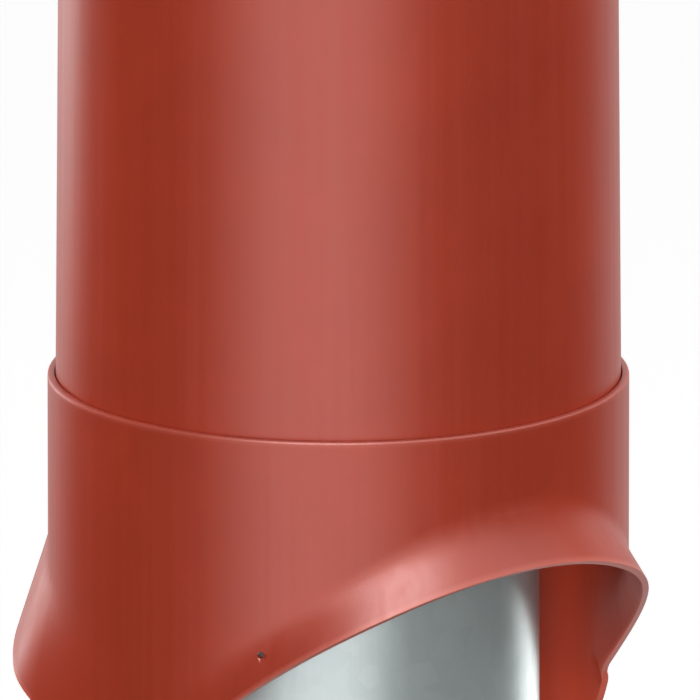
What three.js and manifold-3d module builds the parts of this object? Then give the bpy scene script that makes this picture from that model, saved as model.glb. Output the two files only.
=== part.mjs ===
// Roof vent pipe: a red moulded sleeve around a galvanised duct, with a flared collar at its foot
// that straddles the neck of a roof lead-through. Millimetres, +Z up. The duct's lower end stands
// on z = 0, the pipe's axis is the Z axis, and the collar's high arch, which faces up the roof,
// looks along -Y.

import * as THREE from 'three';
import { mergeVertices } from 'three/addons/utils/BufferGeometryUtils.js';
import loadManifold from 'manifold-3d';

const { degToRad, lerp, smoothstep } = THREE.MathUtils;
const QUARTER_TURN = Math.PI / 2;
const HALF_TURN = Math.PI;
const FULL_TURN = 2 * Math.PI;

// Heights
const TOTAL_HEIGHT = 780;
const COLLAR_TOP = 340;

// Space left between pieces that touch
const FIT_GAP = 0.3;

// Duct: a nominal 160 pipe of thin sheet
const DUCT_RADIUS = 80;
const DUCT_WALL = 0.7;

// Sleeve: a nominal 225 pipe that narrows towards its top
const SLEEVE_FOOT_RADIUS = 112.5;
const SLEEVE_TOP_RADIUS = 108.6;
const SLEEVE_WALL = 3;
const SHOULDER_ROUND = 8;
const LOCATING_RING_WALL = 3;
const LOCATING_RING_DEPTH = 15;

// Collar: a socket over the sleeve's foot, with a stop ledge for the sleeve's end
const COLLAR_RADIUS = 115.5;
const COLLAR_WALL = COLLAR_RADIUS - SLEEVE_FOOT_RADIUS - FIT_GAP;
const COLLAR_EDGE_ROUND = 1.2;
const LAP_DEPTH = 28;
const LEDGE_WIDTH = 2.4;
const LEDGE_HEIGHT = 3;
const SKIRT_DEPTH = 34;

// Mouth of the collar, as depths below its top edge. Seen square on, each arch is part of an
// ellipse, from its crown to its foot at an angle from there. An ear hangs between the two arches
// on each side of the pipe: it drops from the feet of the arches and rounds off to its tip.
const HIGH_ARCH = { crown: 54.5, rise: 109.6, foot: degToRad(75) };
const LOW_ARCH = { crown: 97, rise: 50, foot: degToRad(66) };
const EAR_DEPTH = 162;

// Lips that flare out along the arches and die away into the ears. The ears' ends bell out too,
// from one depth to another.
const HIGH_LIP = {
  arch: HIGH_ARCH, reach: 12, band: 28, softness: 0.6, full: degToRad(27), gone: degToRad(78),
};
const LOW_LIP = {
  arch: LOW_ARCH, reach: 14.1, band: 49, softness: 0.1, full: degToRad(56), gone: degToRad(88),
};
const EAR_BELL = { reach: 2.6, start: 131, full: 140 };

// Two screw holes straight across from each other, the first beside the high arch
const SCREW_HOLE_RADIUS = 1.4;
const SCREW_HOLE_DEPTH = 87;
const SCREW_HOLE_ANGLE = degToRad(-53.5);

// Fineness of the round shapes
const ROUND_SEGMENTS = 72;
const COLLAR_SEGMENTS = 96;
const SKIRT_ROWS = 11;
const CORNER_STEPS = 4;
const HOLE_SEGMENTS = 12;

// Share of the mouth's columns that the arches take, with the ears taking the rest
const ARCH_SHARE = 2 / 3;

const RED_PLASTIC = { color: '#ae3c30', roughness: 0.5, metalness: 0 };
const GALVANISED_STEEL = { color: '#b9c4c3', roughness: 0.35, metalness: 1 };

const ductInnerRadius = DUCT_RADIUS - DUCT_WALL;
const flangeUnderside = TOTAL_HEIGHT - SLEEVE_WALL;

const manifold = await loadManifold();
manifold.setup();

// A closed outline of (radius, height) points turned about the upright axis
function turned(outline, segments) {
  return new THREE.LatheGeometry([...outline, outline[0]], segments);
}

// Points of a round corner from one angle to another
function roundCorner(centreRadius, centreHeight, round, from, to) {
  return Array.from({ length: CORNER_STEPS + 1 }, (_, step) => {
    const angle = lerp(from, to, step / CORNER_STEPS);
    return new THREE.Vector2(centreRadius + round * Math.cos(angle), centreHeight + round * Math.sin(angle));
  });
}

function makeDuct() {
  const top = flangeUnderside - FIT_GAP;
  const outline = [
    new THREE.Vector2(ductInnerRadius, 0),
    new THREE.Vector2(DUCT_RADIUS, 0),
    new THREE.Vector2(DUCT_RADIUS, top),
    new THREE.Vector2(ductInnerRadius, top),
  ];
  return turned(outline, ROUND_SEGMENTS).rotateX(QUARTER_TURN);
}

// The sleeve's wall turns in over a round shoulder to a flat flange. The flange rests on the
// duct's end, and a short ring under it keeps the duct on the axis.
function makeSleeve() {
  const foot = COLLAR_TOP - LAP_DEPTH;
  const innerRound = SHOULDER_ROUND - SLEEVE_WALL;
  const shoulderRadius = SLEEVE_TOP_RADIUS - SHOULDER_ROUND;
  const shoulderHeight = TOTAL_HEIGHT - SHOULDER_ROUND;
  const ringRadius = DUCT_RADIUS + FIT_GAP;
  const ringFoot = flangeUnderside - LOCATING_RING_DEPTH;
  const outline = [
    new THREE.Vector2(SLEEVE_FOOT_RADIUS - SLEEVE_WALL, foot),
    new THREE.Vector2(SLEEVE_FOOT_RADIUS, foot),
    ...roundCorner(shoulderRadius, shoulderHeight, SHOULDER_ROUND, 0, QUARTER_TURN),
    new THREE.Vector2(ductInnerRadius, TOTAL_HEIGHT),
    new THREE.Vector2(ductInnerRadius, flangeUnderside),
    new THREE.Vector2(ringRadius, flangeUnderside),
    new THREE.Vector2(ringRadius, ringFoot),
    new THREE.Vector2(ringRadius + LOCATING_RING_WALL, ringFoot),
    new THREE.Vector2(ringRadius + LOCATING_RING_WALL, flangeUnderside),
    ...roundCorner(shoulderRadius, shoulderHeight, innerRound, QUARTER_TURN, 0),
  ];
  return turned(outline, ROUND_SEGMENTS).rotateX(QUARTER_TURN);
}

function archDepth(arch, fromCrown) {
  return arch.crown + arch.rise * (1 - Math.cos(fromCrown));
}

// A point of an arch, as its angle from the crown and its depth. The share runs from 0 at the
// crown to 1 at the arch's foot.
function onArch(arch, share) {
  const fromCrown = share * arch.foot;
  return [fromCrown, archDepth(arch, fromCrown)];
}

// A point of the ear's edge, which drops steeply from the arch's foot and levels out to the ear's tip
// at the pipe's side
function onEar(arch, share) {
  const [footAngle, footDepth] = onArch(arch, 1);
  const drop = 1 - (1 - share) ** 3;
  return [lerp(footAngle, QUARTER_TURN, share), lerp(footDepth, EAR_DEPTH, drop)];
}

// Half of the mouth's rim, unrolled from the crown of the high arch to that of the low arch. A
// point's x is the way round at the collar's radius, and its y the height.
class MouthRim extends THREE.Curve {
  getPoint(t, target = new THREE.Vector2()) {
    const arch = t < 0.5 ? HIGH_ARCH : LOW_ARCH;
    const toTip = 2 * Math.min(t, 1 - t);
    const [fromCrown, depth] = toTip < ARCH_SHARE
      ? onArch(arch, toTip / ARCH_SHARE)
      : onEar(arch, (toTip - ARCH_SHARE) / (1 - ARCH_SHARE));
    const angle = t < 0.5 ? fromCrown : HALF_TURN - fromCrown;
    return target.set(angle * COLLAR_RADIUS, COLLAR_TOP - depth);
  }
}

// How far a lip stands out at an angle from its arch's crown. It is out in full along the arch's
// line, which runs on into the ears.
function lipReach(lip, fromCrown, depth) {
  const fade = 1 - smoothstep(fromCrown, lip.full, lip.gone);
  const share = 1 + (depth - archDepth(lip.arch, fromCrown)) / lip.band;
  return lip.reach * fade * softRamp(share, lip.softness);
}

// How far the skirt stands out from the socket's wall at an angle from -Y
function skirtReach(angle, depth) {
  const fromHigh = Math.min(angle, FULL_TURN - angle);
  const earReach = EAR_BELL.reach * smoothstep(depth, EAR_BELL.start, EAR_BELL.full);
  return lipReach(HIGH_LIP, fromHigh, depth) + lipReach(LOW_LIP, HALF_TURN - fromHigh, depth) + earReach;
}

// A ramp from 0 to 1 that leaves the wall in a soft curve and ends as a straight slope
function softRamp(share, softness) {
  const rise = (at) => Math.hypot(at, softness) - softness;
  return rise(Math.max(share, 0)) / rise(1);
}

// The collar's section as (radius, height) rows. A row with a share belongs to the skirt, which
// runs from 0 at its top to 1 at the mouth's rim.
function collarRows() {
  const innerRadius = COLLAR_RADIUS - COLLAR_WALL;
  const edgeRadius = COLLAR_RADIUS - COLLAR_EDGE_ROUND;
  const edgeHeight = COLLAR_TOP - COLLAR_EDGE_ROUND;
  const ledgeTop = COLLAR_TOP - LAP_DEPTH - FIT_GAP;
  const skirtWall = (radius) => Array.from({ length: SKIRT_ROWS }, (_, row) => (
    { radius, height: COLLAR_TOP - SKIRT_DEPTH, share: row / (SKIRT_ROWS - 1) }
  ));
  return [
    ...skirtWall(COLLAR_RADIUS).reverse(),
    ...roundCorner(edgeRadius, edgeHeight, COLLAR_EDGE_ROUND, 0, QUARTER_TURN)
      .map((point) => ({ radius: point.x, height: point.y })),
    { radius: innerRadius, height: COLLAR_TOP },
    { radius: innerRadius, height: ledgeTop },
    { radius: innerRadius - LEDGE_WIDTH, height: ledgeTop },
    { radius: innerRadius - LEDGE_WIDTH, height: ledgeTop - LEDGE_HEIGHT },
    ...skirtWall(innerRadius),
  ];
}

// A straight socket is turned first. Its skirt is then drawn down to the mouth's rim, column by
// column, and pushed out along the lips.
function makeCollar() {
  const rows = collarRows();
  const geometry = turned(rows.map((row) => new THREE.Vector2(row.radius, row.height)), COLLAR_SEGMENTS);
  const halfRim = new MouthRim().getPoints(COLLAR_SEGMENTS / 2);
  const position = geometry.attributes.position;
  const columnLength = rows.length + 1;
  for (let index = 0; index < position.count; index += 1) {
    const column = Math.floor(index / columnLength);
    const row = rows[index % columnLength % rows.length];
    if (row.share === undefined) {
      continue;
    }
    const mirrored = column > COLLAR_SEGMENTS / 2;
    const rim = halfRim[mirrored ? COLLAR_SEGMENTS - column : column];
    const rimAngle = mirrored ? FULL_TURN - rim.x / COLLAR_RADIUS : rim.x / COLLAR_RADIUS;
    const socketAngle = FULL_TURN * column / COLLAR_SEGMENTS;
    const angle = lerp(socketAngle, rimAngle, smoothstep(row.share, 0, 1));
    const height = lerp(row.height, rim.y, row.share);
    const radius = row.radius + skirtReach(rimAngle, COLLAR_TOP - height);
    position.setXYZ(index, radius * Math.sin(angle), height, radius * Math.cos(angle));
  }
  const holes = [SCREW_HOLE_ANGLE, SCREW_HOLE_ANGLE + HALF_TURN].map(makeScrewPeg);
  return cutAway(geometry.rotateX(QUARTER_TURN), holes);
}

// A peg of the screw hole's size that runs out from the duct through the collar's wall
function makeScrewPeg(angle) {
  const far = COLLAR_RADIUS + LOW_LIP.reach;
  const length = far - DUCT_RADIUS;
  return new THREE.CylinderGeometry(SCREW_HOLE_RADIUS, SCREW_HOLE_RADIUS, length, HOLE_SEGMENTS)
    .translate(0, length / 2 - far, 0)
    .rotateZ(angle)
    .translate(0, 0, COLLAR_TOP - SCREW_HOLE_DEPTH);
}

function solidOf(geometry) {
  const bare = geometry.clone();
  bare.deleteAttribute('normal');
  bare.deleteAttribute('uv');
  const merged = mergeVertices(bare, 1e-3);
  return new manifold.Manifold(new manifold.Mesh({
    numProp: 3,
    vertProperties: new Float32Array(merged.attributes.position.array),
    triVerts: new Uint32Array(merged.index.array),
  }));
}

function cutAway(geometry, cutters) {
  const cut = cutters.reduce((solid, cutter) => solid.subtract(solidOf(cutter)), solidOf(geometry));
  const mesh = cut.getMesh();
  const result = new THREE.BufferGeometry();
  result.setAttribute('position', new THREE.BufferAttribute(mesh.vertProperties, 3));
  result.setIndex(new THREE.BufferAttribute(mesh.triVerts, 1));
  result.computeVertexNormals();
  return result;
}

function addPiece(group, name, geometry, finish) {
  const mesh = new THREE.Mesh(geometry, new THREE.MeshStandardMaterial(finish));
  mesh.name = name;
  group.add(mesh);
}

const ventPipe = new THREE.Group();
addPiece(ventPipe, 'inner_duct', makeDuct(), GALVANISED_STEEL);
addPiece(ventPipe, 'outer_sleeve', makeSleeve(), RED_PLASTIC);
addPiece(ventPipe, 'flared_collar', makeCollar(), RED_PLASTIC);

export default ventPipe;
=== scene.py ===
# Roof vent pipe: the looks of its red sleeve, flared collar and galvanised duct, around the packed
# solids. Metres, +Z up. The pipe's axis is the Z axis, and the collar's high arch looks along -Y.

import math

import bmesh
import bpy
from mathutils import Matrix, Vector


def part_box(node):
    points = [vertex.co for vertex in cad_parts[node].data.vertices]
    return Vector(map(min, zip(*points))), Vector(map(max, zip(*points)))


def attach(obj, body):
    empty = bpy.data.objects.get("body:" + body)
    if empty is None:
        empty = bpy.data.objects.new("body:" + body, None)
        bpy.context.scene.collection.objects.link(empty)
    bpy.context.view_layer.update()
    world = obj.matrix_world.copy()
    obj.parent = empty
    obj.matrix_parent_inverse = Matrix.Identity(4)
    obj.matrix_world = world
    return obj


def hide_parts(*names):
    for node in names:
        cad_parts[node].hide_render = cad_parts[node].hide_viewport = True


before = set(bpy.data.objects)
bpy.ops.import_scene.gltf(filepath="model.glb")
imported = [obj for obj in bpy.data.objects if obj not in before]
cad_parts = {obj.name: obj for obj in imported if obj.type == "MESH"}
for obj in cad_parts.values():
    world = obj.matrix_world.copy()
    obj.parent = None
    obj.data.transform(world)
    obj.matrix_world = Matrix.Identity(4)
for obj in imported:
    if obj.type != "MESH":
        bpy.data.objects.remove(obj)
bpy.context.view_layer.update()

MM = 0.001
QUARTER_TURN = math.pi / 2
HALF_TURN = math.pi

# Sizes that the frame gives
SLEEVE_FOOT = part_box("outer_sleeve")[0].z
SLEEVE_FOOT_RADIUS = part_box("outer_sleeve")[1].x
PIPE_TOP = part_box("outer_sleeve")[1].z
COLLAR_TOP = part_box("flared_collar")[1].z
EAR_DEPTH = COLLAR_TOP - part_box("flared_collar")[0].z
DUCT_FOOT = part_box("inner_duct")[0].z
DUCT_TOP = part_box("inner_duct")[1].z
DUCT_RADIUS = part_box("inner_duct")[1].x

# Room between pieces that fit into one another
FIT_GAP = 0.3 * MM

# Duct
DUCT_WALL = 0.7 * MM
DUCT_EDGE_ROUND = DUCT_WALL / 5
WELD_COLUMNS = 3
WELD_HEIGHT = 0.2 * MM

# Sleeve
SLEEVE_TOP_RADIUS = 108.6 * MM
SLEEVE_WALL = 3 * MM
SLEEVE_EDGE_ROUND = 0.3 * MM
SHOULDER_ROUND = 8 * MM
LOCATING_RING_WALL = 3 * MM
LOCATING_RING_DEPTH = 15 * MM
LOCATING_RING_INSIDE = DUCT_RADIUS + FIT_GAP
LOCATING_RING_OUTSIDE = LOCATING_RING_INSIDE + LOCATING_RING_WALL

# Collar
COLLAR_RADIUS = 115.5 * MM
COLLAR_WALL = COLLAR_RADIUS - SLEEVE_FOOT_RADIUS - FIT_GAP
COLLAR_EDGE_ROUND = 1.2 * MM
RIM_ROUND = 0.8 * MM
LEDGE_WIDTH = 2.4 * MM
LEDGE_HEIGHT = 3 * MM
LEDGE_TOP = SLEEVE_FOOT - FIT_GAP
LEDGE_FOOT = LEDGE_TOP - LEDGE_HEIGHT
SOCKET_DEPTH = 34 * MM
SKIRT_TOP = COLLAR_TOP - SOCKET_DEPTH
SKIRT_FOOT = COLLAR_TOP - EAR_DEPTH

# Mouth of the collar, as depths below its top edge. Each arch is part of an ellipse seen square on,
# from its crown to its foot at an angle from there, and an ear hangs between the two arches on
# each side of the pipe. An arch takes its share of the mesh's columns, and its ear the rest.
HIGH_ARCH = {"crown": 54.5 * MM, "rise": 109.6 * MM, "foot": math.radians(75)}
LOW_ARCH = {"crown": 97 * MM, "rise": 50 * MM, "foot": math.radians(66)}
ARCH_SHARE = 2 / 3
EAR_STEEPNESS = 3

# Lips that flare out along the arches and die away into the ears. The ears' ends bell out too, from
# one depth to another.
HIGH_LIP = {
    "arch": HIGH_ARCH, "reach": 12 * MM, "band": 28 * MM, "softness": 0.6,
    "full": math.radians(27), "gone": math.radians(78),
}
LOW_LIP = {
    "arch": LOW_ARCH, "reach": 14.1 * MM, "band": 49 * MM, "softness": 0.1,
    "full": math.radians(56), "gone": math.radians(88),
}
EAR_BELL = {"reach": 2.6 * MM, "start": 131 * MM, "full": 140 * MM}

# Edges that handling has rubbed paler, with a highlight painted into the same pale colour: the
# attribute that marks them, how far they fade, and the wear and painted highlight of the socket's top
# edge as a share of the mouth rim's
EDGE_WEAR_AND_HIGHLIGHT = "edge_wear_and_highlight"
WEAR_AND_HIGHLIGHT_BAND = 2.5 * MM
TOP_EDGE_WEAR_AND_HIGHLIGHT = 0.5

# Screw holes, straight across from each other, and the drill with a chamfering cone that cuts them
SCREW_HOLE_RADIUS = 1.4 * MM
SCREW_HOLE_CHAMFER = 0.2 * MM
SCREW_HOLE_DEPTH = 87 * MM
SCREW_HOLE_HEIGHT = COLLAR_TOP - SCREW_HOLE_DEPTH
SCREW_HOLE_ANGLE = math.radians(-53.5)
SCREW_HOLE_ANGLES = (SCREW_HOLE_ANGLE, SCREW_HOLE_ANGLE + HALF_TURN)
DRILL_LENGTH = 3 * COLLAR_WALL
DRILL_CONE = 4 * SCREW_HOLE_CHAMFER

# Fineness of the meshes
SLEEVE_SIDES = 192
SLEEVE_ROWS = 24
SHOULDER_STEPS = 10
DUCT_SIDES = 240
DUCT_ROWS = 24
COLLAR_SIDES = 384
SKIRT_ROWS = 20
WEAR_AND_HIGHLIGHT_ROWS = 4
COLLAR_EDGE_STEPS = 4
RIM_STEPS = 3
EDGE_STEPS = 2
HOLE_SIDES = 32
SHARP_ANGLE = math.radians(38)

# How near to a place, and how square to a direction, a part of a mesh has to be to be picked
TOUCHING = 0.02 * MM
SQUARE_ON = 0.999

# Finishes: the colours and the roughness that each one runs between, the colour of rubbed edges,
# which also stands for a painted highlight along them, and of dulled zinc, and how much of that shows
# at most
RED_SHADES = ((0.36, 0.032, 0.010, 1), (0.40, 0.036, 0.012, 1))
RED_ROUGHNESS = (0.35, 0.42)
RUBBED_AND_HIGHLIT_RED = (0.60, 0.14, 0.10, 1)
RUBBED_AND_HIGHLIT_SHARE = 0.6
ZINC_SHADES = ((0.53, 0.60, 0.595, 1), (0.57, 0.64, 0.635, 1))
ZINC_ROUGHNESS = (0.30, 0.37)
ROLLED_ROUGHNESS = 0.03
DULLED_ZINC = (0.48, 0.525, 0.52, 1)
DULLED_SHARE = 0.25

# Patterns: the stretch of a noise's values that fills a mask, and how drawn lines are pulled out
NOISE_LOW = 0.3
NOISE_HIGH = 0.7
LINE_STRETCH = (1.0, 1.0, 0.012)

# Photograph's view: where the pipe's axis crosses the collar's top edge, in pixels
PHOTO_SIDE = 700
METRES_A_PIXEL = 0.397 * MM
COLLAR_CENTRE_PIXEL = (338.4, 370.8)
VIEW_AZIMUTH = math.radians(-38.3)
VIEW_ELEVATION = math.radians(14.2)
CAMERA_DISTANCE = 12
CAMERA_SIGHT = 100
SENSOR_WIDTH = 36

# Floor: its paint as the camera sees it and as it lights the object, and its glow for the camera
FLOOR_SIZE = 80
FLOOR_PAINT = (0.8, 0.8, 0.8, 1)
FLOOR_BOUNCE = (0.6, 0.6, 0.6, 1)
FLOOR_GLOW = 0.68

# Walls of light that mirror in the object. Each one has its azimuth from the camera, its brightness,
# and the angles from its middle at which it starts to fade and is gone, all angles in degrees.
WALL_BASE = 0.01
FRONT_WALL = {"azimuth": -9, "level": 1.98, "full": 6, "gone": 46}
BACK_WALL = {"azimuth": 175, "level": 0.85, "full": 15, "gone": 57}
SOFT_LIGHT = 0.43
BACKDROP_LEVEL = 1.2

# Lamps aimed at the collar, with their azimuth from the camera and their elevation in degrees.
# Fills light the pieces without mirroring in them. Glints and the card on the floor only mirror.
FILLS = {
    "front_fill": {"azimuth": -2, "elevation": 8, "distance": 2.5, "width": 0.5, "watts": 34},
    "rear_left_fill": {"azimuth": -127, "elevation": 10, "distance": 1.8, "width": 0.8, "watts": 32},
    "rear_right_fill": {"azimuth": 127, "elevation": 10, "distance": 1.8, "width": 0.8, "watts": 30},
}
OVERHEAD_SOFTBOX = {"azimuth": 0, "elevation": 82, "distance": 1.7, "width": 1.2, "watts": 4.5}
GLINTS = {
    "lip_glint": {"azimuth": -10, "elevation": 50, "distance": 1.6, "width": 1.2, "watts": 18},
    "side_lip_glint": {"azimuth": 52, "elevation": 44, "distance": 1.6, "width": 1.1, "watts": 3.5},
    "rim_glint": {"azimuth": 97, "elevation": 46, "distance": 1.6, "width": 1.4, "watts": 6},
    "rear_lip_glint": {"azimuth": -140, "elevation": 1, "distance": 1.6, "width": 0.7, "watts": 2.8},
}
WHITE_CARD = {"azimuth": 138, "elevation": 0, "distance": 0.95, "width": 0.6, "watts": 2.7}

# Lamp beside the camera that reaches into the collar's mouth, and the place there that it lights
MOUTH_SPOT_WATTS = 90
MOUTH_SPOT_AZIMUTH = 3
MOUTH_SPOT_ELEVATION = 10
MOUTH_SPOT_DISTANCE = 1.6
MOUTH_SPOT_RADIUS = 0.05
MOUTH_BEAM_RADIUS = 0.04
MOUTH_BEAM_SOFTNESS = 0.6
LIT_MOUTH_AZIMUTH = 122
LIT_MOUTH_RADIUS = 113 * MM
LIT_MOUTH_HEIGHT = 217 * MM


def lerp(start, end, share):
    return start + (end - start) * share


def smoothstep(value, low, high):
    share = min(max((value - low) / (high - low), 0), 1)
    return share * share * (3 - 2 * share)


def radius_of(point):
    return math.hypot(point.x, point.y)


# Modelling by hand

def add_tube(name, radius, foot, top, sides, ends="NOTHING"):
    """An upright tube about the pipe's axis, opened for modelling."""
    bpy.ops.object.select_all(action="DESELECT")
    middle = (0, 0, (foot + top) / 2)
    bpy.ops.mesh.primitive_cylinder_add(
        vertices=sides, radius=radius, depth=top - foot, end_fill_type=ends, location=middle
    )
    bpy.ops.object.transform_apply(location=True, rotation=True, scale=True)
    piece = bpy.context.object
    piece.name = name
    piece.data.name = name
    open_piece()
    return piece


def open_piece():
    bpy.ops.object.mode_set(mode="EDIT")


def close_piece():
    bpy.ops.object.mode_set(mode="OBJECT")


def choose(piece):
    """Makes a piece the active one, and the only one that is selected."""
    bpy.ops.object.select_all(action="DESELECT")
    piece.select_set(True)
    bpy.context.view_layer.objects.active = piece


def pick(piece, kind, wanted):
    """Selects only the wanted faces or edges of the opened piece."""
    bpy.ops.mesh.select_mode(type=kind)
    bpy.ops.mesh.select_all(action="DESELECT")
    mesh = bmesh.from_edit_mesh(piece.data)
    for part in mesh.faces if kind == "FACE" else mesh.edges:
        part.select_set(wanted(part))
    bmesh.update_edit_mesh(piece.data)


def pick_ring(piece, height):
    """Selects the ring of edges at a height."""
    pick(piece, "EDGE", lambda edge: all(abs(v.co.z - height) < TOUCHING for v in edge.verts))


def pick_uprights(piece):
    """Selects the edges that run along the pipe's axis."""
    pick(piece, "EDGE", lambda edge: abs(edge.verts[0].co.z - edge.verts[1].co.z) > TOUCHING)


def extrude_by(move):
    bpy.ops.mesh.extrude_region_move(TRANSFORM_OT_translate={"value": move})


def extrude_from_axis(move, radius):
    """Extrudes what is selected at a radius straight away from the pipe's axis, or towards it."""
    bpy.ops.mesh.extrude_region_move()
    growth = 1 + move / radius
    bpy.ops.transform.resize(value=(growth, growth, 1), center_override=(0, 0, 0))


def finish_with(piece, kind, **settings):
    """Adds a modifier with these settings and applies it."""
    modifier = piece.modifiers.new(kind.lower(), kind)
    for setting, value in settings.items():
        setattr(modifier, setting, value)
    choose(piece)
    bpy.ops.object.modifier_apply(modifier=modifier.name)


def thicken_inwards(piece, wall):
    """Closes the piece, whose faces are its outer skin, and gives it a wall."""
    bpy.ops.mesh.select_all(action="SELECT")
    bpy.ops.mesh.normals_make_consistent(inside=False)
    close_piece()
    finish_with(piece, "SOLIDIFY", thickness=wall, offset=-1)


def soften_edges(piece, width, steps):
    finish_with(
        piece, "BEVEL", width=width, segments=steps, limit_method="ANGLE",
        angle_limit=SHARP_ANGLE, harden_normals=False
    )


def dress(piece, node, material):
    """Gives a finished piece its shading, material and place in the frame."""
    choose(piece)
    bpy.ops.object.shade_smooth_by_angle(angle=SHARP_ANGLE)
    piece.data.materials.clear()
    piece.data.materials.append(material)
    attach(piece, "root")
    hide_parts(node)


# Inner duct

def model_inner_duct():
    """A thin round pipe of sheet steel, with a welded seam on the far side of the high arch."""
    duct = add_tube("steel_duct", DUCT_RADIUS, DUCT_FOOT, DUCT_TOP, DUCT_SIDES)
    pick_uprights(duct)
    bpy.ops.mesh.subdivide(number_cuts=DUCT_ROWS - 1)
    half_weld = HALF_TURN * WELD_COLUMNS / DUCT_SIDES
    pick(duct, "FACE", lambda face: on_far_side(face.calc_center_median(), half_weld))
    extrude_from_axis(WELD_HEIGHT, DUCT_RADIUS)
    thicken_inwards(duct, DUCT_WALL)
    soften_edges(duct, DUCT_EDGE_ROUND, EDGE_STEPS)
    return duct


def on_far_side(point, half_angle):
    return abs(math.atan2(point.x, point.y)) < half_angle


# Outer sleeve

def model_outer_sleeve():
    """A tapered pipe whose wall turns in over a round shoulder to a flat flange. A short ring
    under the flange holds the duct's end."""
    sleeve = add_tube("red_sleeve", SLEEVE_FOOT_RADIUS, SLEEVE_FOOT, PIPE_TOP, SLEEVE_SIDES, "NGON")
    pick(sleeve, "FACE", lambda face: face.normal.z < -SQUARE_ON)
    bpy.ops.mesh.delete(type="FACE")
    pick_uprights(sleeve)
    bpy.ops.mesh.subdivide(number_cuts=SLEEVE_ROWS - 1)
    taper_sleeve(sleeve)
    pick_ring(sleeve, PIPE_TOP)
    bpy.ops.mesh.bevel(offset=SHOULDER_ROUND, segments=SHOULDER_STEPS, affect="EDGES")
    pick(sleeve, "FACE", lambda face: face.normal.z > SQUARE_ON)
    bpy.ops.mesh.inset(thickness=SLEEVE_TOP_RADIUS - SHOULDER_ROUND - LOCATING_RING_OUTSIDE)
    bpy.ops.mesh.inset(thickness=LOCATING_RING_WALL)
    bpy.ops.mesh.inset(thickness=FIT_GAP + DUCT_WALL)
    bpy.ops.mesh.delete(type="FACE")
    thicken_inwards(sleeve, SLEEVE_WALL)
    draw_out_locating_ring(sleeve)
    soften_edges(sleeve, SLEEVE_EDGE_ROUND, EDGE_STEPS)
    return sleeve


def taper_sleeve(sleeve):
    """Narrows the sleeve row by row from its foot to its top."""
    mesh = bmesh.from_edit_mesh(sleeve.data)
    for vertex in mesh.verts:
        share = (vertex.co.z - SLEEVE_FOOT) / (PIPE_TOP - SLEEVE_FOOT)
        narrow = lerp(1, SLEEVE_TOP_RADIUS / SLEEVE_FOOT_RADIUS, share)
        vertex.co.x *= narrow
        vertex.co.y *= narrow
    bmesh.update_edit_mesh(sleeve.data)


def draw_out_locating_ring(sleeve):
    """Draws a ring of the flange's underside down around the duct's end."""
    open_piece()
    pick(sleeve, "FACE", lambda face: (
        face.normal.z < -SQUARE_ON
        and LOCATING_RING_INSIDE < radius_of(face.calc_center_median()) < LOCATING_RING_OUTSIDE
    ))
    extrude_by((0, 0, -LOCATING_RING_DEPTH))
    close_piece()


# Flared collar

def arch_depth(arch, from_crown):
    return arch["crown"] + arch["rise"] * (1 - math.cos(from_crown))


def on_arch(arch, share):
    """A point of an arch, as its angle from the crown and its depth."""
    from_crown = share * arch["foot"]
    return from_crown, arch_depth(arch, from_crown)


def on_ear(arch, share):
    """A point of the ear's edge, which drops steeply from the arch's foot and levels out."""
    foot_angle, foot_depth = on_arch(arch, 1)
    drop = 1 - (1 - share) ** EAR_STEEPNESS
    return lerp(foot_angle, QUARTER_TURN, share), lerp(foot_depth, EAR_DEPTH, drop)


def on_rim(share):
    """A point of half the mouth's rim, as angle and height, from the high crown to the low one."""
    high = share < 0.5
    arch = HIGH_ARCH if high else LOW_ARCH
    to_tip = 2 * min(share, 1 - share)
    if to_tip < ARCH_SHARE:
        from_crown, depth = on_arch(arch, to_tip / ARCH_SHARE)
    else:
        from_crown, depth = on_ear(arch, (to_tip - ARCH_SHARE) / (1 - ARCH_SHARE))
    return from_crown if high else HALF_TURN - from_crown, COLLAR_TOP - depth


def soft_ramp(share, softness):
    """A ramp from 0 to 1 that leaves the wall in a soft curve and ends as a straight slope."""
    def rise(at):
        return math.hypot(at, softness) - softness
    return rise(max(share, 0)) / rise(1)


def lip_reach(lip, from_crown, depth):
    """How far a lip stands out. It is out in full along its arch's line, which runs on into
    the ears."""
    fade = 1 - smoothstep(from_crown, lip["full"], lip["gone"])
    share = 1 + (depth - arch_depth(lip["arch"], from_crown)) / lip["band"]
    return lip["reach"] * fade * soft_ramp(share, lip["softness"])


def skirt_reach(from_high, depth):
    """How far the skirt stands out from the socket's wall, at an angle from the high crown."""
    reach = EAR_BELL["reach"] * smoothstep(depth, EAR_BELL["start"], EAR_BELL["full"])
    reach += lip_reach(HIGH_LIP, from_high, depth)
    return reach + lip_reach(LOW_LIP, HALF_TURN - from_high, depth)


def skirt_height(drop, rim_height):
    """The height of a row of the skirt. The last rows crowd into the worn, highlight-painted edge."""
    wear_and_highlight_start = SKIRT_ROWS / (SKIRT_ROWS + WEAR_AND_HIGHLIGHT_ROWS)
    wear_and_highlight_top = rim_height + WEAR_AND_HIGHLIGHT_BAND
    if drop < wear_and_highlight_start:
        return lerp(SKIRT_TOP, wear_and_highlight_top, drop / wear_and_highlight_start)
    return lerp(wear_and_highlight_top, rim_height, (drop - wear_and_highlight_start) / (1 - wear_and_highlight_start))


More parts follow.
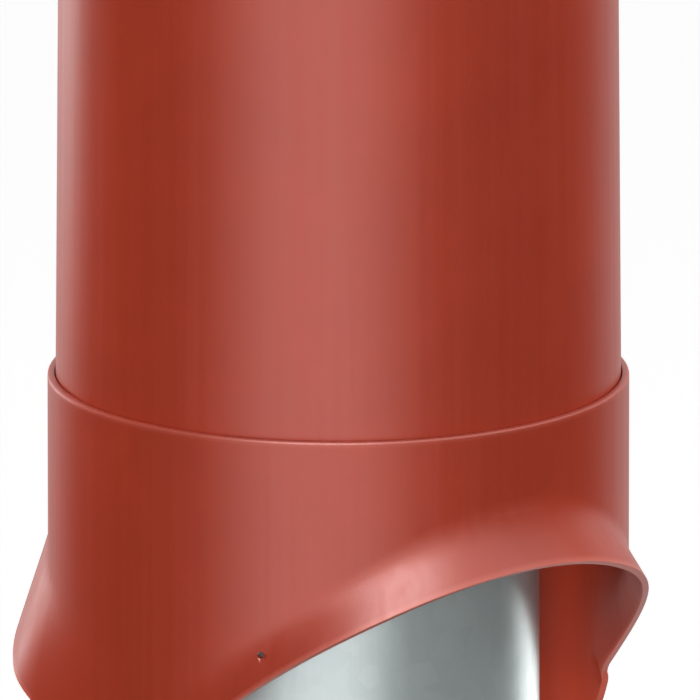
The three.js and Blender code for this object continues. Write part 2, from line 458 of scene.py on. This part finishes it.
def draw_down_skirt(collar):
    """Draws the straight skirt down to the mouth's rim, column by column, pushes out its lips and
    marks the worn edges, which also carry a painted highlight."""
    mesh = bmesh.from_edit_mesh(collar.data)
    wear_and_highlight = mesh.verts.layers.float.new(EDGE_WEAR_AND_HIGHLIGHT)
    for vertex in mesh.verts:
        drop = (SKIRT_TOP - vertex.co.z) / (SKIRT_TOP - SKIRT_FOOT)
        if drop < 0:
            # The socket's top edge gets part of the rim's paler colour: wear and a painted highlight
            vertex[wear_and_highlight] = TOP_EDGE_WEAR_AND_HIGHLIGHT if vertex.co.z > COLLAR_TOP - TOUCHING else 0
            continue
        socket_angle = math.atan2(vertex.co.x, -vertex.co.y)
        from_high, rim_height = on_rim(abs(socket_angle) / HALF_TURN)
        height = skirt_height(drop, rim_height)
        share = (SKIRT_TOP - height) / (SKIRT_TOP - rim_height)
        rim_angle = math.copysign(from_high, socket_angle)
        angle = lerp(socket_angle, rim_angle, smoothstep(share, 0, 1))
        radius = COLLAR_RADIUS + skirt_reach(from_high, COLLAR_TOP - height)
        vertex.co = (radius * math.sin(angle), -radius * math.cos(angle), height)
        # A pale band up from the rim: wear, and a highlight painted in as well
        vertex[wear_and_highlight] = max(1 - (height - rim_height) / WEAR_AND_HIGHLIGHT_BAND, 0)
    bmesh.update_edit_mesh(collar.data)


def model_flared_collar():
    """A socket over the sleeve's foot, with a stop ledge inside and a skirt with an arched mouth."""
    collar = add_tube("red_collar", COLLAR_RADIUS, SKIRT_FOOT, SKIRT_TOP, COLLAR_SIDES)
    pick_uprights(collar)
    bpy.ops.mesh.subdivide(number_cuts=SKIRT_ROWS + WEAR_AND_HIGHLIGHT_ROWS - 1)
    pick_ring(collar, SKIRT_TOP)
    below = SKIRT_TOP
    for height in (LEDGE_FOOT, LEDGE_TOP, COLLAR_TOP - WEAR_AND_HIGHLIGHT_BAND, COLLAR_TOP):
        extrude_by((0, 0, height - below))
        below = height
    draw_down_skirt(collar)
    thicken_inwards(collar, COLLAR_WALL)
    raise_stop_ledge(collar)
    round_top_edge(collar)
    soften_edges(collar, RIM_ROUND, RIM_STEPS)
    for angle in SCREW_HOLE_ANGLES:
        drill_screw_hole(collar, angle)
    return collar


def raise_stop_ledge(collar):
    """Pulls a ring of the socket's inner wall in, for the sleeve's end to stand on."""
    open_piece()
    pick(collar, "FACE", lambda face: (
        LEDGE_FOOT < face.calc_center_median().z < LEDGE_TOP
        and face.normal.dot(face.calc_center_median()) < 0
    ))
    extrude_from_axis(-LEDGE_WIDTH, COLLAR_RADIUS - COLLAR_WALL)
    close_piece()


def round_top_edge(collar):
    """Rounds the outer edge of the socket's top."""
    open_piece()
    pick(collar, "EDGE", lambda edge: all(
        abs(v.co.z - COLLAR_TOP) < TOUCHING and abs(radius_of(v.co) - COLLAR_RADIUS) < TOUCHING
        for v in edge.verts
    ))
    bpy.ops.mesh.bevel(offset=COLLAR_EDGE_ROUND, segments=COLLAR_EDGE_STEPS, affect="EDGES")
    close_piece()


def drill_screw_hole(collar, angle):
    """Drills a hole with a small chamfer through the collar's wall, square to the pipe's axis."""
    outwards = Vector((math.sin(angle), -math.cos(angle), 0))
    outside = outwards * 2 * COLLAR_RADIUS + Vector((0, 0, SCREW_HOLE_HEIGHT))
    bpy.context.view_layer.update()
    hit, surface, _, _ = collar.ray_cast(outside, -outwards)
    assert hit
    bpy.ops.object.select_all(action="DESELECT")
    bpy.ops.mesh.primitive_cylinder_add(
        vertices=HOLE_SIDES, radius=SCREW_HOLE_RADIUS, depth=DRILL_LENGTH,
        location=surface - outwards * (DRILL_LENGTH / 2 + SCREW_HOLE_CHAMFER),
        rotation=outwards.to_track_quat("Z", "Y").to_euler()
    )
    bpy.ops.object.transform_apply(location=True, rotation=True, scale=True)
    drill = bpy.context.object
    open_piece()
    pick(drill, "FACE", lambda face: face.normal.dot(outwards) > SQUARE_ON)
    extrude_by(outwards * DRILL_CONE)
    flare = 1 + DRILL_CONE / SCREW_HOLE_RADIUS
    end = surface + outwards * (DRILL_CONE - SCREW_HOLE_CHAMFER)
    bpy.ops.transform.resize(value=(flare, flare, flare), center_override=end)
    close_piece()
    finish_with(collar, "BOOLEAN", operation="DIFFERENCE", solver="EXACT", object=drill)
    bpy.data.objects.remove(drill)


# Finishes

def add_node(tree, kind, links=(), **settings):
    """A node with its settings, and its inputs linked or set by name."""
    node = tree.nodes.new(kind)
    for setting, value in settings.items():
        setattr(node, setting, value)
    for socket, source in dict(links).items():
        feed(tree, node.inputs[socket], source)
    return node


def feed(tree, socket, source):
    """Links an input to a socket, or sets it to a value."""
    if isinstance(source, bpy.types.NodeSocket):
        tree.links.new(source, socket)
    else:
        socket.default_value = source


def mask_group(name, fineness):
    """An empty shader node group that puts out a mask, with inputs for its place and its fineness."""
    group = bpy.data.node_groups.new(name, "ShaderNodeTree")
    group.interface.new_socket("Vector", in_out="INPUT", socket_type="NodeSocketVector")
    group.interface.new_socket(fineness, in_out="INPUT", socket_type="NodeSocketFloat")
    group.interface.new_socket("Mask", in_out="OUTPUT", socket_type="NodeSocketFloat")
    return group, group.nodes.new("NodeGroupInput").outputs, group.nodes.new("NodeGroupOutput").inputs


def put_out_noise(group, mask, **noise_inputs):
    """Fills a group's mask with noise that is spread to run from 0 to 1."""
    noise = add_node(group, "ShaderNodeTexNoise", noise_inputs)
    spread = add_node(group, "ShaderNodeMapRange", {
        "Value": noise.outputs["Fac"], "From Min": NOISE_LOW, "From Max": NOISE_HIGH,
    })
    group.links.new(spread.outputs["Result"], mask)


def make_cloudy_patches():
    """Soft uneven patches, as in a moulding's colour or in zinc that has dulled."""
    group, given, out = mask_group("cloudy_patches", "Patches a Metre")
    put_out_noise(
        group, out["Mask"], Vector=given["Vector"], Scale=given["Patches a Metre"],
        Detail=3.0, Roughness=0.55
    )
    return group


def make_drawn_lines():
    """Fine lines along the pipe, as drawn or rolled stock has."""
    group, given, out = mask_group("drawn_lines", "Lines a Metre")
    stretch = add_node(group, "ShaderNodeVectorMath", {
        0: given["Vector"], 1: LINE_STRETCH,
    }, operation="MULTIPLY")
    put_out_noise(
        group, out["Mask"], Vector=stretch.outputs["Vector"], Scale=given["Lines a Metre"],
        Detail=2.0, Roughness=0.6
    )
    return group


def use_group(tree, group, links):
    return add_node(tree, "ShaderNodeGroup", links, node_tree=group).outputs["Mask"]


def mix_colour(tree, share, first, second):
    """A mix of two colours. The Mix node has like-named sockets for other kinds of value too."""
    node = add_node(tree, "ShaderNodeMix", data_type="RGBA")
    sources = {"Factor_Float": share, "A_Color": first, "B_Color": second}
    for socket in node.inputs:
        if socket.identifier in sources:
            feed(tree, socket, sources[socket.identifier])
    return next(socket for socket in node.outputs if socket.identifier == "Result_Color")


def scaled(tree, value, low, high):
    """A mask from 0 to 1 turned into a range of values."""
    node = add_node(tree, "ShaderNodeMapRange", {"Value": value, "To Min": low, "To Max": high})
    return node.outputs["Result"]


def new_material(name):
    """A new material, with its nodes, the place on the object and the shader."""
    material = bpy.data.materials.new(name)
    material.use_nodes = True
    tree = material.node_tree
    place = add_node(tree, "ShaderNodeTexCoord").outputs["Object"]
    return material, tree, place, tree.nodes["Principled BSDF"]


def make_red_plastic(cloudy_patches, drawn_lines):
    """Satin moulded plastic: fine grain, faint flow lines, uneven colour, and worn, highlight-painted
    edges.
    """
    material, tree, place, shader = new_material("red_plastic")
    patches = use_group(tree, cloudy_patches, {"Vector": place, "Patches a Metre": 22.0})
    lines = use_group(tree, drawn_lines, {"Vector": place, "Lines a Metre": 260.0})
    colour = mix_colour(tree, patches, *RED_SHADES)
    # Edges paler from rubbing and from a painted highlight along the socket's top and the mouth's rim
    worn_and_highlit = add_node(tree, "ShaderNodeAttribute", attribute_name=EDGE_WEAR_AND_HIGHLIGHT).outputs["Fac"]
    colour = mix_colour(tree, scaled(tree, worn_and_highlit, 0.0, RUBBED_AND_HIGHLIT_SHARE), colour, RUBBED_AND_HIGHLIT_RED)
    tree.links.new(colour, shader.inputs["Base Color"])
    tree.links.new(scaled(tree, lines, *RED_ROUGHNESS), shader.inputs["Roughness"])
    grain = add_node(tree, "ShaderNodeTexNoise", {"Vector": place, "Scale": 1400.0, "Detail": 2.0})
    bump = add_node(tree, "ShaderNodeBump", {
        "Height": grain.outputs["Fac"], "Strength": 0.06, "Distance": 0.6 * MM,
    })
    tree.links.new(bump.outputs["Normal"], shader.inputs["Normal"])
    shader.inputs["Specular IOR Level"].default_value = 1.0
    return material


def make_galvanised_steel(cloudy_patches, drawn_lines):
    """Zinc-coated sheet: pale grey spangle, dulled patches and fine rolling lines."""
    material, tree, place, shader = new_material("galvanised_steel")
    patches = use_group(tree, cloudy_patches, {"Vector": place, "Patches a Metre": 14.0})
    lines = use_group(tree, drawn_lines, {"Vector": place, "Lines a Metre": 700.0})
    spangle = add_node(tree, "ShaderNodeTexVoronoi", {"Vector": place, "Scale": 130.0})
    crystal = add_node(tree, "ShaderNodeSeparateColor", {"Color": spangle.outputs["Color"]})
    colour = mix_colour(tree, crystal.outputs["Red"], *ZINC_SHADES)
    dulled = mix_colour(tree, scaled(tree, patches, 0.0, DULLED_SHARE), colour, DULLED_ZINC)
    tree.links.new(dulled, shader.inputs["Base Color"])
    roughness = add_node(tree, "ShaderNodeMath", {
        0: scaled(tree, patches, *ZINC_ROUGHNESS),
        1: scaled(tree, lines, -ROLLED_ROUGHNESS, ROLLED_ROUGHNESS),
    })
    tree.links.new(roughness.outputs["Value"], shader.inputs["Roughness"])
    bump = add_node(tree, "ShaderNodeBump", {
        "Height": lines, "Strength": 0.03, "Distance": 0.4 * MM,
    })
    tree.links.new(bump.outputs["Normal"], shader.inputs["Normal"])
    shader.inputs["Metallic"].default_value = 0.5
    return material


# Stage, light and camera

def set_floor():
    """A pale floor that looks brighter to the camera than it lights the object, and that is seen
    through from below."""
    bpy.ops.object.select_all(action="DESELECT")
    bpy.ops.mesh.primitive_plane_add(size=FLOOR_SIZE)
    floor = bpy.context.object
    floor.name = "floor"
    material, tree, _, shader = new_material("pale_floor")
    seen = add_node(tree, "ShaderNodeLightPath").outputs["Is Camera Ray"]
    paint = mix_colour(tree, seen, FLOOR_BOUNCE, FLOOR_PAINT)
    tree.links.new(paint, shader.inputs["Base Color"])
    shader.inputs["Roughness"].default_value = 1.0
    shader.inputs["Specular IOR Level"].default_value = 0.0
    shader.inputs["Emission Color"].default_value = (1, 1, 1, 1)
    tree.links.new(scaled(tree, seen, 0.0, FLOOR_GLOW), shader.inputs["Emission Strength"])
    below = add_node(tree, "ShaderNodeNewGeometry").outputs["Backfacing"]
    clear = add_node(tree, "ShaderNodeBsdfTransparent").outputs["BSDF"]
    mixed = add_node(tree, "ShaderNodeMixShader", {0: below, 1: shader.outputs["BSDF"], 2: clear})
    tree.links.new(mixed.outputs["Shader"], tree.nodes["Material Output"].inputs["Surface"])
    floor.data.materials.append(material)
    floor.visible_glossy = False


def towards(azimuth, elevation=0.0):
    """The direction from the object to a viewer at this azimuth and elevation."""
    level = math.cos(elevation)
    return Vector((math.sin(azimuth) * level, -math.cos(azimuth) * level, math.sin(elevation)))


def beside_camera(azimuth, elevation=0.0):
    """The direction to a lamp, in degrees round from the camera and up from the floor."""
    return towards(VIEW_AZIMUTH + math.radians(azimuth), math.radians(elevation))


def add_wall_glow(tree, level, wall):
    """How bright a wall of light is in a level direction."""
    facing = add_node(tree, "ShaderNodeVectorMath", {
        0: level, 1: beside_camera(wall["azimuth"]),
    }, operation="DOT_PRODUCT")
    glow = add_node(tree, "ShaderNodeMapRange", {
        "Value": facing.outputs["Value"], "From Min": math.cos(math.radians(wall["gone"])),
        "From Max": math.cos(math.radians(wall["full"])), "To Max": wall["level"] - WALL_BASE,
    }, interpolation_type="SMOOTHSTEP")
    return glow.outputs["Result"]


def set_walls_of_light():
    """A world that lights the object softly from all round, shows walls of light to what mirrors
    them, and shows the camera a white backdrop."""
    world = bpy.data.worlds.new("studio")
    bpy.context.scene.world = world
    world.use_nodes = True
    tree = world.node_tree
    tree.nodes.clear()
    direction = add_node(tree, "ShaderNodeTexCoord").outputs["Generated"]
    flat = add_node(tree, "ShaderNodeVectorMath", {0: direction, 1: (1, 1, 0)}, operation="MULTIPLY")
    level = add_node(tree, "ShaderNodeVectorMath", {0: flat.outputs["Vector"]}, operation="NORMALIZE")
    brightness = WALL_BASE
    for wall in (FRONT_WALL, BACK_WALL):
        glow = add_wall_glow(tree, level.outputs["Vector"], wall)
        brightness = add_node(tree, "ShaderNodeMath", {0: brightness, 1: glow}).outputs["Value"]
    ray = add_node(tree, "ShaderNodeLightPath").outputs
    look = add_node(tree, "ShaderNodeBackground", {"Strength": SOFT_LIGHT}).outputs["Background"]
    for kind, strength in (("Is Glossy Ray", brightness), ("Is Camera Ray", BACKDROP_LEVEL)):
        other = add_node(tree, "ShaderNodeBackground", {"Strength": strength}).outputs["Background"]
        mixed = add_node(tree, "ShaderNodeMixShader", {0: ray[kind], 1: look, 2: other})
        look = mixed.outputs["Shader"]
    add_node(tree, "ShaderNodeOutputWorld", {"Surface": look})


def stand_off(data, aim, back, distance):
    """Puts a lamp or camera at a distance from what it is aimed at."""
    holder = bpy.data.objects.new(data.name, data)
    holder.location = aim + back * distance
    holder.rotation_euler = back.to_track_quat("Z", "Y").to_euler()
    bpy.context.scene.collection.objects.link(holder)
    return holder


def add_softbox(name, azimuth, elevation, distance, width, watts, diffuse=True, glossy=True):
    """A soft lamp aimed at the collar."""
    lamp = bpy.data.lights.new(name, "AREA")
    lamp.shape = "DISK"
    lamp.size = width
    lamp.energy = watts
    softbox = stand_off(lamp, Vector((0, 0, COLLAR_TOP)), beside_camera(azimuth, elevation), distance)
    softbox.visible_camera = False
    softbox.visible_diffuse = diffuse
    softbox.visible_glossy = glossy
    return softbox


def add_white_card():
    """A bright card on the floor that shows only in what mirrors it."""
    card = add_softbox("white_card", **WHITE_CARD, diffuse=False)
    card.location.z = MM
    card.rotation_euler = (HALF_TURN, 0, 0)
    return card


def add_mouth_spot():
    """A narrow lamp beside the camera that reaches into the collar's mouth."""
    lamp = bpy.data.lights.new("mouth_spot", "SPOT")
    lamp.energy = MOUTH_SPOT_WATTS
    lamp.spot_size = 2 * math.atan(MOUTH_BEAM_RADIUS / MOUTH_SPOT_DISTANCE)
    lamp.spot_blend = MOUTH_BEAM_SOFTNESS
    lamp.shadow_soft_size = MOUTH_SPOT_RADIUS
    aim = beside_camera(LIT_MOUTH_AZIMUTH) * LIT_MOUTH_RADIUS + Vector((0, 0, LIT_MOUTH_HEIGHT))
    back = beside_camera(MOUTH_SPOT_AZIMUTH, MOUTH_SPOT_ELEVATION)
    spot = stand_off(lamp, aim, back, MOUTH_SPOT_DISTANCE)
    spot.visible_glossy = False
    return spot


def light_only(lamp, *pieces):
    """Keeps a lamp off everything but these pieces."""
    lit = bpy.data.collections.new(lamp.name + "_lights")
    for piece in pieces:
        lit.objects.link(piece)
    lamp.light_linking.receiver_collection = lit


def set_lamps(duct, sleeve, collar):
    """Sets the lamps, and keeps those that are made for some pieces off all the rest."""
    for name, fill in FILLS.items():
        light_only(add_softbox(name, **fill, glossy=False), duct, sleeve, collar)
    add_softbox("overhead_softbox", **OVERHEAD_SOFTBOX)
    for name, glint in GLINTS.items():
        add_softbox(name, **glint, diffuse=False)
    light_only(add_white_card(), duct)
    light_only(add_mouth_spot(), collar)


def set_camera():
    """A long lens at the photograph's angle, framed by where the collar's top edge shows there."""
    back = towards(VIEW_AZIMUTH, VIEW_ELEVATION)
    right = Vector((math.cos(VIEW_AZIMUTH), math.sin(VIEW_AZIMUTH), 0))
    up = back.cross(right)
    middle = PHOTO_SIDE / 2
    aim = Vector((0, 0, COLLAR_TOP))
    aim += right * (middle - COLLAR_CENTRE_PIXEL[0]) * METRES_A_PIXEL
    aim += up * (COLLAR_CENTRE_PIXEL[1] - middle) * METRES_A_PIXEL
    lens = bpy.data.cameras.new("camera")
    lens.sensor_width = SENSOR_WIDTH
    lens.lens = SENSOR_WIDTH * CAMERA_DISTANCE / (PHOTO_SIDE * METRES_A_PIXEL)
    lens.clip_end = CAMERA_SIGHT
    bpy.context.scene.camera = stand_off(lens, aim, back, CAMERA_DISTANCE)


set_camera()
cloudy_patches = make_cloudy_patches()
drawn_lines = make_drawn_lines()
red_plastic = make_red_plastic(cloudy_patches, drawn_lines)
galvanised_steel = make_galvanised_steel(cloudy_patches, drawn_lines)
duct = model_inner_duct()
sleeve = model_outer_sleeve()
collar = model_flared_collar()
dress(duct, "inner_duct", galvanised_steel)
dress(sleeve, "outer_sleeve", red_plastic)
dress(collar, "flared_collar", red_plastic)
set_floor()
set_walls_of_light()
set_lamps(duct, sleeve, collar)
bpy.context.scene.view_settings.view_transform = "Standard"
